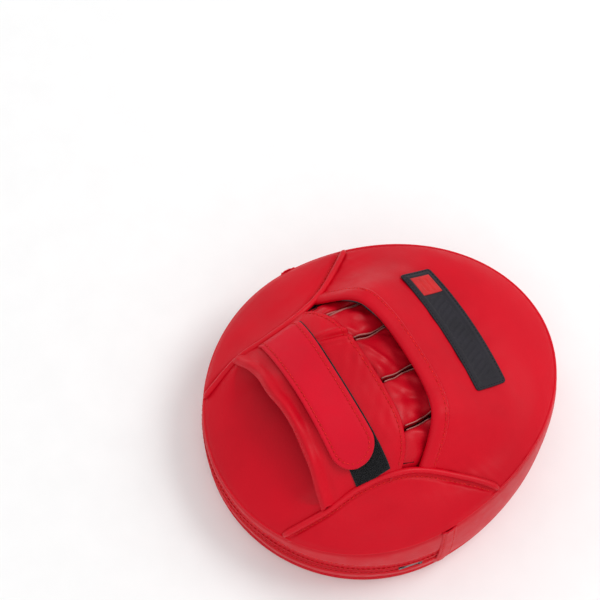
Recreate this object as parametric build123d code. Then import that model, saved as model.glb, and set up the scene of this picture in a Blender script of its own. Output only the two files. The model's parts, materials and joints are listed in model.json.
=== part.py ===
from build123d import *
from math import hypot
import os

# Focus mitt, striking face down. Millimetres, +Z up from the striking face, +Y towards
# the fingers, +X to the right of a hand that lies in the mitt with its back up.

# ---- plan outline of the rim: a round heel and a half-elliptic finger end ----
HALF_WIDTH = 100.0
HEEL_CENTRE_Y = -15.0
FINGER_REACH = 130.0
PLAN_GROWTH = {0: 1.0, 5: 2.6, 25: 4.0, 46: 3.0, 66: 0.6, 130: -3.0}  # height: outward bulge

# ---- heights ----
RIM_HEIGHT, RIM_TILT, RIM_SAG = 65.5, 0.0706, 0.000727
BACK_RISE, BACK_ROUNDNESS = 14.0, 5
ARCH_RISE, ARCH_FADE = 25.0, 18.0
HAND_TOP = 102.0
FACE_SKIN, FACE_LIP = 2.0, 5.0
IMPACT_FOAM_TOP, LOWER_FOAM_TOP = 16.0, 40.0
SIDE_FOAM_BASE = 44.0
PALM_DROP = 12.0

# ---- leather and lining ----
LEATHER = 2.0
SIDE_WALL = 2.5
WELT, WELT_PROUD, WELT_GAP = 1.3, 1.2, 0.8
FACE_WELT = 1.0
BINDING_WIDTH, BINDING_PROUD = 10.0, 1.3
HEM, HEM_HIGH = 10.0, 1.1
GAP = 0.1
FOAM_GAP = 0.2

# ---- zip around the heel, on circles about the heel's centre ----
ZIP_HEIGHT = 25.0
SLOT_HALF = 3.5
TAPE_RADIUS, TAPE_THICK, TAPE_HALF, TAPE_PART = 97.0, 0.8, 7.5, 0.3
COIL_RADIUS, COIL_THICK, COIL_HALF, COIL_PART = 97.9, 1.6, 1.6, 0.1
ZIP_END_ANGLE = 4.0
SLIDER_ANGLE = -9.0
SLIDER_CLEAR = 0.3
SLIDER_PLATE, PIVOT_STAND_OFF = 1.6, 1.45
PIN_RADIUS, PIN_CLEAR = 0.5, 0.08
PLACKET_TOP, PLACKET_EDGE = 39.0, 34.0
PLACKET_COVER, PLACKET_SET_BACK = 1.2, 1.3

# ---- strap ----
STRAP_Y, STRAP_WIDTH = -48.5, 27.0
STRAP_START, STRAP_TIP = -49.7, 49.0
LOOP_Y, LOOP_WIDTH = -44.0, 22.0

# ---- sleeves: edges of the five finger compartments across the hand ----
SLEEVE_EDGES = (-60.0, -49.0, -25.0, 8.0, 41.0, 60.0)
SLEEVE_SKIN = 1.2

# ---- patch on the hood ----
PATCH_CENTRE, PATCH_SIZE = (-6.0, 53.0), (92.0, 23.0)
EMBLEM_SIZE = 16.0

# Inner edge of the right-hand side panel, heel to fingers; the left one mirrors it.
WING_EDGE = [(53, -98), (57, -76), (56.8, -55), (59.5, -33), (66, -14), (79, 6), (96.4, 26.4)]
# Outline of the hollow that takes the hand, right half, wrist to fingertips.
HAND_EDGE = [(52, -64), (53, -48), (56, -30), (61, -12), (62, 8), (56, 36), (40, 58)]

HIGH = 140.0
WIDE = 300.0


def blend(low, high, value):
    """0 below low, 1 above high, smooth between."""
    t = min(max((value - low) / (high - low), 0.0), 1.0)
    return t * t * (3 - 2 * t)


# ---------------------------------------------------------------- surfaces of the back


def plan_ratio(x, y):
    """0 at the heel's centre, 1 on the rim outline."""
    reach = FINGER_REACH if y > HEEL_CENTRE_Y else HALF_WIDTH
    return hypot(x / HALF_WIDTH, (y - HEEL_CENTRE_Y) / reach)


def foam_surface(x, y):
    """Rounded top of the foam body, from the saddle-shaped rim."""
    rim = RIM_HEIGHT + RIM_TILT * y - RIM_SAG * y * y
    return rim + BACK_RISE * (1 - plan_ratio(x, y) ** BACK_ROUNDNESS)


def back_surface(x, y):
    """Outer surface of the hood and side panels, which rises to the arch over the hand."""
    middle = 60 + 0.12 * y
    across = 1 - blend(middle - ARCH_FADE, middle + ARCH_FADE, abs(x))
    fingers = min(max((62 - y) / 52, 0.0), 1.0)
    wrist = blend(-100, -70, y)
    return foam_surface(x, y) + ARCH_RISE * across * fingers ** 1.15 * wrist


def hand_surface(x, y):
    """Outer surface of the cuff over the back of the hand."""
    wrist = blend(-20, -78, y) if y < -20 else 0.0
    s = min(abs(x), 75.0) / 60
    return HAND_TOP - 30 * wrist * s**2 - 15 * (1 - wrist) * s**4


def sleeve_surface(x, y):
    """Top of the finger sleeves: from the cuff's edge down under the hood."""
    deep = min(max((y - 10) / 30, 0.0), 1.0)
    hidden = back_surface(x, max(y, 10)) - 13 + 4 * deep
    share = blend(-22, 12, y + 10 * (x / 60) ** 2)
    return (1 - share) * (hand_surface(x, -20) - 1) + share * hidden


def surface_face(height, half_x, y_low, y_high, across, along):
    rows = []
    for i in range(across + 1):
        x = -half_x + 2 * half_x * i / across
        ys = [y_low + (y_high - y_low) * j / along for j in range(along + 1)]
        rows.append([Vector(x, y, height(x, y)) for y in ys])
    return Face.make_surface_from_array_of_points(rows, tol=0.02)


BACK = surface_face(back_surface, 112, -126, 126, 32, 36)
FOAM = surface_face(foam_surface, 112, -126, 126, 24, 28)
HAND = surface_face(hand_surface, 72, -92, 2, 24, 12)
SLEEVES = surface_face(sleeve_surface, 66, -34, 44, 24, 16)


def layer(face, top, bottom):
    """Solid between two copies of a surface, top and bottom above or below it."""
    return extrude(Pos(0, 0, top) * face, top - bottom, dir=(0, 0, -1))


def under(face, top):
    """Everything below a surface, down past the striking face."""
    return extrude(Pos(0, 0, top) * face, HIGH, dir=(0, 0, -1))


# ---------------------------------------------------------------- plan shapes


def plan_face(grow, z):
    wide, reach = HALF_WIDTH + grow, FINGER_REACH + grow
    centre = (0, HEEL_CENTRE_Y)
    fingers = EllipticalCenterArc(centre, wide, reach, start_angle=0, arc_size=180)
    heel = CenterArc(centre, wide, 180, 180)
    return Pos(0, 0, z) * make_face([fingers, heel])


def body(grow):
    """The mitt's bulging outer form, grown outwards by grow."""
    return loft([plan_face(out + grow, z) for z, out in PLAN_GROWTH.items()])


def slab(z_low, z_high):
    return Pos(0, 0, (z_low + z_high) / 2) * Box(WIDE, WIDE, z_high - z_low)


def prism(points):
    return extrude(make_face(Polyline(*points, close=True)), HIGH)


def beside(points, distance):
    """A path moved sideways: to the right of its direction for a positive distance."""
    moved = []
    for i, (x, y) in enumerate(points):
        ax, ay = points[max(i - 1, 0)]
        bx, by = points[min(i + 1, len(points) - 1)]
        run = hypot(bx - ax, by - ay)
        moved.append((x + distance * (by - ay) / run, y - distance * (bx - ax) / run))
    return moved


def spline_points(points, count=24):
    path = Spline(*points)
    return [((path @ (i / count)).X, (path @ (i / count)).Y) for i in range(count + 1)]


WING_PATH = spline_points([(50, -112), *WING_EDGE, (118, 40)])


def mirrored(points):
    return [(-x, y) for x, y in points]


def wing_side(distance):
    """Plan prism of everything outboard of the right panel's inner edge."""
    return prism([*beside(WING_PATH, distance), (150, 40), (150, -112)])


def strip(path, low, high):
    """Plan prism of a ribbon beside a path."""
    return prism([*beside(path, low), *reversed(beside(path, high))])


def both_sides(right):
    """The left-hand and right-hand copies of a right-hand solid."""
    return {"left": mirror(right, Plane.YZ), "right": right}


def hand_region(inset):
    right = beside(HAND_EDGE, -inset)
    right = [(x, min(max(y, -64 + inset), 58 - inset)) for x, y in right]
    return prism([*right, *reversed(mirrored(right))])


def hood_edge(x):
    s = x / 66
    return 10.5 - 8 * s**2 - 21 * s**4


def knuckle_edge(x):
    s = x / 60
    return -12 - 3 * s**2 - 12 * s**4


def wrist_edge(x):
    s = x / 57
    return -73 - 4 * s**2


def across_path(edge, half, shift=0.0, count=16):
    xs = [-half + 2 * half * i / count for i in range(count + 1)]
    return [(x, edge(x) + shift) for x in xs]


def ahead_of(edge, half, shift, far):
    """Plan prism on the finger side of an edge."""
    return prism([*across_path(edge, half, shift), (half, far), (-half, far)])


def ring(inner, thick, z_low, z_high, start, size):
    """Sector of a ring about the heel's centre, angles in degrees from +X."""
    outer_arc = CenterArc((0, HEEL_CENTRE_Y), inner + thick, start, size)
    inner_arc = CenterArc((0, HEEL_CENTRE_Y), inner, start, size)
    ends = [Line(outer_arc @ 0, inner_arc @ 0), Line(outer_arc @ 1, inner_arc @ 1)]
    return Pos(0, 0, z_low) * extrude(make_face([outer_arc, inner_arc, *ends]), z_high - z_low)


# ---------------------------------------------------------------- shared solids

OUTSIDE = body(0)
WALL_INSIDE = body(-SIDE_WALL)
FOAM_ROOM = body(-SIDE_WALL - FOAM_GAP)
WALL = OUTSIDE - WALL_INSIDE
WELT_RING = body(WELT_PROUD) - body(-SIDE_WALL)
WALL_BASE = FACE_LIP + GAP + FACE_WELT + GAP
WALL_TOP = under(FOAM, -LEATHER - WELT - WELT_GAP - FOAM_GAP)
HEEL_SIDE = Pos(0, HEEL_CENTRE_Y - WIDE / 2 - GAP, 0) * Box(WIDE, WIDE, WIDE)
FINGER_SIDE = Pos(0, HEEL_CENTRE_Y + WIDE / 2 + GAP, 0) * Box(WIDE, WIDE, WIDE)
PIPE_HALF = 1.75
BETWEEN_WINGS = slab(0, HIGH) - wing_side(-PIPE_HALF - GAP)
BETWEEN_WINGS -= mirror(wing_side(-PIPE_HALF - GAP), Plane.YZ)


# ---------------------------------------------------------------- the pieces


def striking_side():
    face = OUTSIDE & slab(0, FACE_LIP)
    face -= FOAM_ROOM & slab(FACE_SKIN, FACE_LIP + 1)
    welt = WELT_RING & slab(FACE_LIP + GAP, FACE_LIP + GAP + FACE_WELT)
    impact = FOAM_ROOM & slab(FACE_SKIN + GAP, IMPACT_FOAM_TOP)
    return {"striking_face": face, "face_welt": welt, "impact_foam": impact}


def foam_body():
    groove = ring(TAPE_RADIUS - 1.5, 20, ZIP_HEIGHT - 8.5, ZIP_HEIGHT + 8.5, 180, 180)
    lower = (FOAM_ROOM & slab(IMPACT_FOAM_TOP + GAP, LOWER_FOAM_TOP)) - groove
    upper = FOAM_ROOM & slab(LOWER_FOAM_TOP + GAP, HIGH) & under(FOAM, -LEATHER - 0.8)
    upper -= hand_region(0) - under(FOAM, -PALM_DROP)
    sides = wing_side(0) & slab(SIDE_FOAM_BASE, HIGH)
    for side in both_sides(sides).values():
        upper -= side
    palm = hand_region(0.4) & layer(FOAM, 3.8 - PALM_DROP, GAP - PALM_DROP)
    lining = hand_region(0.4) & layer(FOAM, 4.9 - PALM_DROP, 3.9 - PALM_DROP)
    return {"foam_lower": lower, "foam_upper": upper, "palm_pad": palm, "palm_lining": lining}


def side_panels():
    nodes = {}
    foam = wing_side(0.2) & slab(SIDE_FOAM_BASE + GAP, HIGH) & under(BACK, -LEATHER - GAP)
    foam = foam & FOAM_ROOM
    panel = wing_side(PIPE_HALF + GAP) & layer(BACK, 0, -LEATHER) & OUTSIDE
    panel -= under(FOAM, -LEATHER - WELT_GAP / 2)
    pipe = strip(WING_PATH, -PIPE_HALF, PIPE_HALF) & layer(BACK, 1.6, -LEATHER) & OUTSIDE
    for name, solid in {"side_foam": foam, "side_panel": panel, "side_piping": pipe}.items():
        for side, piece in both_sides(solid).items():
            nodes[f"{name}_{side}"] = piece
    return nodes


def hood():
    region = ahead_of(hood_edge, 112, 0, 150) & BETWEEN_WINGS
    panel = region & layer(BACK, 0, -LEATHER) & OUTSIDE
    hem = strip(across_path(hood_edge, 64), -HEM, 0) & layer(BACK, HEM_HIGH, GAP)
    hem = hem & BETWEEN_WINGS
    inside = ahead_of(hood_edge, 112, 0.5, 150) & hand_region(0.4)
    padding = inside & layer(BACK, -LEATHER - GAP, -LEATHER - 3.1)
    lining = inside & layer(BACK, -LEATHER - 3.2, -LEATHER - 4.2)
    patch_at = Pos(*PATCH_CENTRE, 0)
    outline = extrude(patch_at * RectangleRounded(*PATCH_SIZE, 2.5), HIGH)
    patch = outline & layer(BACK, 1.6, GAP)
    emblem_at = Pos(PATCH_CENTRE[0] - PATCH_SIZE[0] / 2 + 12, PATCH_CENTRE[1], 0)
    emblem = extrude(emblem_at * RectangleRounded(EMBLEM_SIZE, EMBLEM_SIZE, 1.0), HIGH)
    emblem = emblem & layer(BACK, 2.3, 1.7)
    return {
        "hood_panel": panel,
        "hood_hem": hem,
        "hood_padding": padding,
        "hood_lining": lining,
        "hood_patch": patch,
        "patch_emblem": emblem,
    }


def heel_panel():
    region = prism([(-112, -150), (112, -150), (112, -65), (-112, -65)]) & BETWEEN_WINGS
    return {"heel_panel": region & layer(FOAM, 0, -LEATHER) & OUTSIDE}


def side_wall():
    tall = WALL & WALL_TOP
    front = tall & FINGER_SIDE & slab(WALL_BASE, HIGH)
    lower_edge, upper_edge = ZIP_HEIGHT - SLOT_HALF, ZIP_HEIGHT + SLOT_HALF
    lower = tall & HEEL_SIDE & slab(WALL_BASE, lower_edge)
    outer_skin = (OUTSIDE - body(-PLACKET_COVER)) & HEEL_SIDE
    upper = outer_skin & slab(PLACKET_EDGE, PLACKET_TOP + GAP) & WALL_TOP
    upper += tall & HEEL_SIDE & slab(PLACKET_TOP + GAP, HIGH)
    placket = (body(-PLACKET_SET_BACK) - WALL_INSIDE) & HEEL_SIDE & slab(upper_edge, PLACKET_TOP) & WALL_TOP
    rim = WELT_RING & layer(FOAM, -LEATHER - WELT_GAP, -LEATHER - WELT_GAP - WELT)
    nodes = {
        "front_gusset": front,
        "heel_gusset_lower": lower,
        "heel_gusset_upper": upper,
        "zip_placket": placket,
        "rim_welt": rim,
    }
    cover = (body(BINDING_PROUD) - body(GAP)) & under(FOAM, -LEATHER - WELT - 1) & slab(WALL_BASE, HIGH)
    binding = cover & (Pos(HALF_WIDTH, HEEL_CENTRE_Y, 0) * Box(40, BINDING_WIDTH, WIDE))
    for side, piece in both_sides(binding).items():
        nodes[f"gusset_binding_{side}"] = piece
    return nodes


def zip_parts():
    start, size = 180 + ZIP_END_ANGLE, 180 - 2 * ZIP_END_ANGLE
    nodes = {}
    for name, sign in (("lower", -1), ("upper", 1)):
        ends = sorted((sign * TAPE_PART, sign * TAPE_HALF))
        z_low, z_high = ZIP_HEIGHT + ends[0], ZIP_HEIGHT + ends[1]
        nodes[f"zip_tape_{name}"] = ring(TAPE_RADIUS, TAPE_THICK, z_low, z_high, start, size)
        ends = sorted((sign * COIL_PART, sign * COIL_HALF))
        z_low, z_high = ZIP_HEIGHT + ends[0], ZIP_HEIGHT + ends[1]
        nodes[f"zip_coil_{name}"] = ring(COIL_RADIUS, COIL_THICK, z_low, z_high, start, size)
    for name, angle in (("start", -ZIP_END_ANGLE + 0.9), ("end", 180 + ZIP_END_ANGLE - 1.8)):
        z_low, z_high = ZIP_HEIGHT - 2.2, ZIP_HEIGHT + 2.2
        nodes[f"zip_stop_{name}"] = ring(COIL_RADIUS, 1.8, z_low, z_high, angle, 0.8)
    return nodes


def slider_parts():
    top = COIL_RADIUS + COIL_THICK + SLIDER_CLEAR
    plate_outer = top + SLIDER_PLATE
    inner, half, side = COIL_RADIUS + 0.3, 2.7, 0.75
    start, size = SLIDER_ANGLE - 2.6, 5.2
    slider = ring(top, SLIDER_PLATE, ZIP_HEIGHT - half, ZIP_HEIGHT + half, start, size)
    for low in (-half, half - side):
        z_low = ZIP_HEIGHT + low
        slider += ring(inner, plate_outer - inner, z_low, z_low + side, start, size)
    pivot = slider_pivot()
    for low in (-half, half - 0.5):
        ear = Pos(pivot.X, pivot.Y, ZIP_HEIGHT + low + 0.25) * Rot(0, 0, SLIDER_ANGLE)
        slider += ear * Pos(-0.5, 0, 0) * Box(3.2, 2.6, 0.5)
    pin = Pos(pivot.X, pivot.Y, ZIP_HEIGHT) * Cylinder(PIN_RADIUS, 2 * half)
    length, width, thick = 14.0, 3.8, 1.0
    blade = Pos(0, -length / 2 - 0.7, 0) * Box(thick, length, width)
    blade = fillet(blade.edges().filter_by(Axis.X).group_by(Axis.Y)[0], 1.6)
    eye = Cylinder(1.05, width)
    pull = (blade + eye) - Cylinder(PIN_RADIUS + PIN_CLEAR, HIGH)
    hole = Pos(0, -length + 2.4, 0) * Rot(0, 90, 0) * Cylinder(0.9, 5)
    pull -= hole
    pull = Pos(pivot.X, pivot.Y, ZIP_HEIGHT) * Rot(0, 0, SLIDER_ANGLE) * pull
    return {"zip_slider": slider + pin, "zip_pull": pull}


def slider_pivot():
    """Centre of the pull's pin, which stands along +Z on the slider."""
    radius = COIL_RADIUS + COIL_THICK + SLIDER_CLEAR + SLIDER_PLATE + PIVOT_STAND_OFF
    return Vector(0, HEEL_CENTRE_Y, 0) + Vector(radius, 0, 0).rotate(Axis.Z, SLIDER_ANGLE)


def cuff():
    edge = 64
    between = ahead_of(wrist_edge, edge, 0, 20) - ahead_of(knuckle_edge, edge, 0, 40)
    between = between & BETWEEN_WINGS
    panel = between & layer(HAND, 0, -2.5)
    lining = between & layer(HAND, -2.6, -3.6)
    knuckle = strip(across_path(knuckle_edge, 58), 0, 9) & BETWEEN_WINGS & layer(HAND, HEM_HIGH, GAP)
    wrist = strip(across_path(wrist_edge, 58), -8, 0) & BETWEEN_WINGS & layer(HAND, HEM_HIGH, GAP)
    return {"cuff_panel": panel, "cuff_lining": lining, "knuckle_hem": knuckle, "wrist_hem": wrist}


def sleeves():
    nodes = {}
    solid = hand_region(0.6) & ahead_of(knuckle_edge, 64, 0.4, 38) & BETWEEN_WINGS
    floor = under(FOAM, 5.0 - PALM_DROP)
    outer = (solid & under(SLEEVES, 0)) - floor
    hollow = under(SLEEVES, -SLEEVE_SKIN)
    for number, (left, right) in enumerate(zip(SLEEVE_EDGES, SLEEVE_EDGES[1:]), start=1):
        width = right - left - 2 * GAP
        centre = Pos((left + right) / 2, 0, HIGH / 2)
        room = centre * Box(width - 2 * SLEEVE_SKIN, WIDE, HIGH)
        nodes[f"finger_sleeve_{number}"] = (outer & (centre * Box(width, WIDE, HIGH))) - (room & hollow)
    return nodes


def strap_parts():
    radius = STRAP_WIDTH / 2
    low, high = STRAP_Y - radius, STRAP_Y + radius
    middle = STRAP_TIP - radius

    def tongue(inset, start):
        left = start + (inset if start == STRAP_START else 0)
        shape = Pos((left + middle) / 2, STRAP_Y) * Rectangle(middle - left, STRAP_WIDTH - 2 * inset)
        shape += Pos(middle, STRAP_Y) * Circle(radius - inset)
        return extrude(shape, HIGH)

    leather = tongue(0, STRAP_START) & layer(HAND, 4.9, 3.1)
    hook = tongue(3.0, STRAP_START) & layer(HAND, 3.0, 2.0)
    tail = prism([(-54.3, low), (STRAP_START - 0.3, low), (STRAP_START - 0.3, high), (-54.3, high)])
    tail = tail & layer(HAND, 4.9, 3.1) & BETWEEN_WINGS
    loop_low, loop_high = LOOP_Y - LOOP_WIDTH / 2, LOOP_Y + LOOP_WIDTH / 2
    loop = prism([(-53, loop_low), (60, loop_low), (60, loop_high), (-53, loop_high)])
    loop = loop & layer(HAND, 1.6, GAP) & BETWEEN_WINGS
    return {"strap": leather, "strap_hook_tape": hook, "strap_tail": tail, "loop_strap": loop}


def all_nodes():
    nodes = {}
    makers = (striking_side, foam_body, side_panels, hood, heel_panel, side_wall)
    makers += (zip_parts, slider_parts, cuff, sleeves, strap_parts)
    for maker in makers:
        nodes.update(maker())
    return nodes


os.makedirs("parts", exist_ok=True)
for node_name, node in all_nodes().items():
    export_step(node, f"parts/{node_name}.step")
hinge_z = hand_surface(STRAP_START, STRAP_Y) + 4.9
print("strap hinge", STRAP_START, STRAP_Y, round(hinge_z, 2), "pull pin", slider_pivot())
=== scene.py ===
import json
import math

import bmesh
import bpy
import numpy as np
from mathutils import Matrix, Vector


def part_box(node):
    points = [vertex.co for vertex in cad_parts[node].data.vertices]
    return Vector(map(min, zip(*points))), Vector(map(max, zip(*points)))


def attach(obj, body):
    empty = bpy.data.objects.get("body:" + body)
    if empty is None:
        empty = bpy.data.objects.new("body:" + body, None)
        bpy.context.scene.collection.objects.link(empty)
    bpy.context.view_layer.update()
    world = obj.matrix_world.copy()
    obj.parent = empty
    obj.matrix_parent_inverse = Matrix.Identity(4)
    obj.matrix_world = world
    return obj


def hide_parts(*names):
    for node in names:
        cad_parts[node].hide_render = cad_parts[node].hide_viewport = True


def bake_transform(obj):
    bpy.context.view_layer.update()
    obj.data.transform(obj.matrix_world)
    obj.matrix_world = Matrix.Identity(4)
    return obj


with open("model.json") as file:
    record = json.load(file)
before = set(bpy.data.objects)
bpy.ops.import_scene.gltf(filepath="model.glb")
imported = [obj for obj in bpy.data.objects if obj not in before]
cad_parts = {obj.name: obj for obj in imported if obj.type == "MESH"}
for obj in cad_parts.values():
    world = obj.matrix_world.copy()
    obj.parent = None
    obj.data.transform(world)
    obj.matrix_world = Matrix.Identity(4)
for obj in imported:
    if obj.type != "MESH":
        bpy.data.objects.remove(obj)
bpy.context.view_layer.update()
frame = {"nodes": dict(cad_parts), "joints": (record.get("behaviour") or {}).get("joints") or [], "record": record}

# Focus mitt lying on its striking face. Points are worked out in millimetres in the CAD's
# frame (+Z up, +Y to the fingers) and scaled to metres when a mesh is made.
MM = 0.001


# ---- dimensions from the frame


def node_box(node):
    low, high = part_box(node)
    return np.array(low) / MM, np.array(high) / MM


joints = {joint["name"]: joint for joint in frame["joints"]}
zip_centre = np.array(joints["zip_slide"]["pos_m"]) / MM
strap_hinge = np.array(joints["strap_lift"]["pos_m"]) / MM
_, face_high = node_box("striking_face")
strap_low, strap_high = node_box("strap")
loop_low, loop_high = node_box("loop_strap")
patch_low, patch_high = node_box("hood_patch")
emblem_low, emblem_high = node_box("patch_emblem")
tape_low, tape_high = node_box("zip_tape_upper")
_, coil_high = node_box("zip_coil_upper")

FACE_GROWTH = 2.6
HALF_WIDTH = face_high[0] - FACE_GROWTH
HEEL_Y, ZIP_Z = zip_centre[1], zip_centre[2]
FINGER_REACH = face_high[1] - FACE_GROWTH - HEEL_Y
LIP_HALF = 2.9
ZIP_SHORT = math.radians(4)  # how far the zip in the CAD stops short of the sides
PLACKET_EDGE = 34.0
FACE_SEAM_Z = 5.6
HEM_LAP = 7.0
HEM_SEAM = 8.4
PANEL_SEAM = 3.6
KNUCKLE_SEAM = 2.6
STRAP_Y, STRAP_HALF = strap_hinge[1], (strap_high[1] - strap_low[1]) / 2
STRAP_TIP = strap_high[0]
STRAP_SEWN_END = -60.5
STRAP_ABOVE = 4.75
STRAP_SEAM = 2.6
SKIN = 1.7  # thickness of the outer leather
SLEEVES_HALF = 63.0
SLITS = (-49.0, -25.0, 8.0, 41.0)
WING_EDGE = [(53, -98), (57, -76), (56.8, -55), (59.5, -33), (66, -14), (79, 6), (96.4, 26.4)]
WING_RUN_OUT = ((50, -112), (118, 40))


# ---- small maths


def blend(low, high, value):
    t = np.clip((value - low) / (high - low), 0, 1)
    return t * t * (3 - 2 * t)


def bump_at(distance, width):
    return np.exp(-(distance / width) ** 2)


def ripple(points, seed, size):
    """Smooth noise from -1 to 1 over points, with features about size mm across."""
    rng = np.random.default_rng(seed)
    total = np.zeros(points.shape[:-1])
    for _ in range(7):
        way = rng.normal(size=3)
        way *= rng.uniform(0.6, 1.5) * 2 * np.pi / size / np.linalg.norm(way)
        total += np.sin(points @ way + rng.uniform(0, 2 * np.pi))
    return total / 3.6


def spline(points, count):
    """Catmull-Rom curve through points, resampled evenly."""
    p = np.asarray(points, float)
    p = np.vstack([2 * p[0] - p[1], p, 2 * p[-1] - p[-2]])
    out = []
    for a, b, c, d in zip(p, p[1:], p[2:], p[3:]):
        t = np.linspace(0, 1, 24, endpoint=False)[:, None]
        out.append(0.5 * (2 * b + (c - a) * t + (2 * a - 5 * b + 4 * c - d) * t**2
                          + (3 * b - a - 3 * c + d) * t**3))
    return even(np.vstack([*out, p[-2:-1]]), count)


def even(path, count):
    """A path resampled to count points at equal distances."""
    path = np.asarray(path, float)
    run = np.concatenate([[0], np.cumsum(np.linalg.norm(np.diff(path, axis=0), axis=1))])
    at = np.linspace(0, run[-1], count)
    return np.stack([np.interp(at, run, path[:, k]) for k in range(path.shape[1])], -1)


def length_of(path):
    return float(np.linalg.norm(np.diff(path, axis=0), axis=1).sum())


def unit(vectors):
    return vectors / np.maximum(np.linalg.norm(vectors, axis=-1, keepdims=True), 1e-9)


def tangents(path):
    return unit(np.gradient(path, axis=0))


def mirror_x(path):
    return np.asarray(path) * np.array([-1, 1, 1][: np.asarray(path).shape[-1]])


# ---- the surfaces of the mitt


EASE = 0.06  # rounds the two bends of the arch along Y


def growth(z):
    """How far the side wall stands outside the plan outline at a height."""
    return 4.0 - ((z - ZIP_Z) / np.where(z < ZIP_Z, 14.4, 21.5)) ** 2


def outline(angle, grow):
    """Plan outline at an angle in degrees from +X about the heel's centre."""
    a = np.radians(angle)
    reach = np.where(np.sin(a) > 0, FINGER_REACH, HALF_WIDTH) + grow
    return (HALF_WIDTH + grow) * np.cos(a), HEEL_Y + reach * np.sin(a)


def outwards(x, y):
    """Level directions away from the heel's centre."""
    return unit(np.stack([x, y - HEEL_Y, 0 * x], -1))


def foam_height(x, y):
    reach = np.where(y > HEEL_Y, FINGER_REACH, HALF_WIDTH)
    ratio = np.hypot(x / HALF_WIDTH, (y - HEEL_Y) / reach)
    return 65.5 + 0.0706 * y - 0.000727 * y * y + 14 * (1 - ratio**5)


def back_height(x, y):
    middle = 60 + 0.12 * y
    t = np.clip((np.abs(x) - middle + 22.5) / 45, 0, 1)
    across = 1 - t**3 * (10 - 15 * t + 6 * t * t)
    run = (62 - y) / 52 / EASE
    fingers = (EASE * (np.logaddexp(0, run) - np.logaddexp(0, run - 1 / EASE))) ** 1.15
    return foam_height(x, y) + 25 * across * fingers * blend(-100, -70, y)


def hand_height(x, y):
    wrist = blend(20, 78, -y)
    s = np.minimum(np.abs(x), 75) / 60
    return 102 - 30 * wrist * s**2 - 15 * (1 - wrist) * s**4


def sleeve_height(x, y):
    deep = np.clip((y - 10) / 30, 0, 1)
    hidden = back_height(x, np.maximum(y, 10)) - 13 + 4 * deep
    share = blend(-22, 12, y + 10 * (x / 60) ** 2)
    return (1 - share) * (hand_height(x, -20.0) - 1) + share * hidden


def hood_edge(x):
    s = x / 66
    return 10.5 - 8 * s**2 - 21 * s**4


def knuckle_edge(x):
    s = x / 60
    return -12 - 3 * s**2 - 12 * s**4


def wrist_edge(x):
    s = x / 57
    return -73 - 4 * s**2


def lift(path, height, above=0.0):
    """Plan points raised onto a surface."""
    path = np.asarray(path, float)
    return np.stack([path[..., 0], path[..., 1], height(path[..., 0], path[..., 1]) + above], -1)


def rim_at(angles):
    """The rim seam at outline angles, where the side wall meets the back, found by iteration."""
    z = np.full(len(angles), 60.0)
    for _ in range(6):
        x, y = outline(np.asarray(angles), growth(z))
        z = foam_height(x, y)
    return np.stack([x, y, z], -1)


def rim_path(start, stop, count):
    return rim_at(np.linspace(start, stop, count))


def rim_heights(angles):
    return rim_at(angles)[:, 2]


def inside_rim(path):
    """The stretch of a plan path that lies on the back."""
    z = foam_height(path[:, 0], path[:, 1])
    reach = np.where(path[:, 1] > HEEL_Y, FINGER_REACH, HALF_WIDTH) + growth(z)
    ratio = np.hypot(path[:, 0] / (HALF_WIDTH + growth(z)), (path[:, 1] - HEEL_Y) / reach)
    return path[ratio < 1.0]


def angle_of(point):
    """Outline angle in degrees of a plan point on the rim."""
    grow = growth(foam_height(*point))
    reach = (FINGER_REACH if point[1] > HEEL_Y else HALF_WIDTH) + grow
    return math.degrees(math.atan2((point[1] - HEEL_Y) / reach, point[0] / (HALF_WIDTH + grow)))


WING_PLAN = even(inside_rim(spline([WING_RUN_OUT[0], *WING_EDGE, WING_RUN_OUT[1]], 900)), 160)
WING_HEEL_ANGLE, WING_FINGER_ANGLE = angle_of(WING_PLAN[0]), angle_of(WING_PLAN[-1])


def wing_x(y):
    """How far out the side panels' inner edges are at a y."""
    return np.interp(y, WING_PLAN[:, 1], WING_PLAN[:, 0])


def between_wings(points, clear):
    """Points with x held clear of both side panels."""
    limit = (wing_x(points[..., 1]) - clear)[..., None]
    return np.concatenate([np.clip(points[..., :1], -limit, limit), points[..., 1:]], -1)


# ---- materials


def placed(name, data):
    """A new object in the scene."""
    thing = bpy.data.objects.new(name, data)
    bpy.context.scene.collection.objects.link(thing)
    return thing


def set_inputs(node, values):
    for key, value in values.items():
        node.inputs[key].default_value = value


def new_material(name):
    material = bpy.data.materials.new(name)
    material.use_nodes = True
    tree = material.node_tree
    coords = tree.nodes.new("ShaderNodeTexCoord").outputs["Object"]
    return material, tree, tree.nodes["Principled BSDF"], coords


def add_node(tree, kind, **values):
    node = tree.nodes.new(kind)
    for key, value in values.items():
        if key in node.inputs:
            node.inputs[key].default_value = value
        else:
            setattr(node, key, value)
    return node


def noise(tree, coords, scale, detail=3.0, rough=0.5):
    node = add_node(tree, "ShaderNodeTexNoise", Scale=scale, Detail=detail, Roughness=rough)
    tree.links.new(coords, node.inputs["Vector"])
    return node.outputs["Fac"]


def ramp(tree, factor, stops):
    node = tree.nodes.new("ShaderNodeValToRGB")
    elements = node.color_ramp.elements
    while len(elements) < len(stops):
        elements.new(0.5)
    for element, (at, colour) in zip(elements, stops):
        element.position = at
        element.color = (*colour, 1)
    tree.links.new(factor, node.inputs["Fac"])
    return node.outputs["Color"]


def span(tree, factor, low, high, to_low, to_high):
    node = add_node(tree, "ShaderNodeMapRange")
    set_inputs(node, {"From Min": low, "From Max": high, "To Min": to_low, "To Max": to_high})
    tree.links.new(factor, node.inputs["Value"])
    return node.outputs["Result"]


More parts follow.
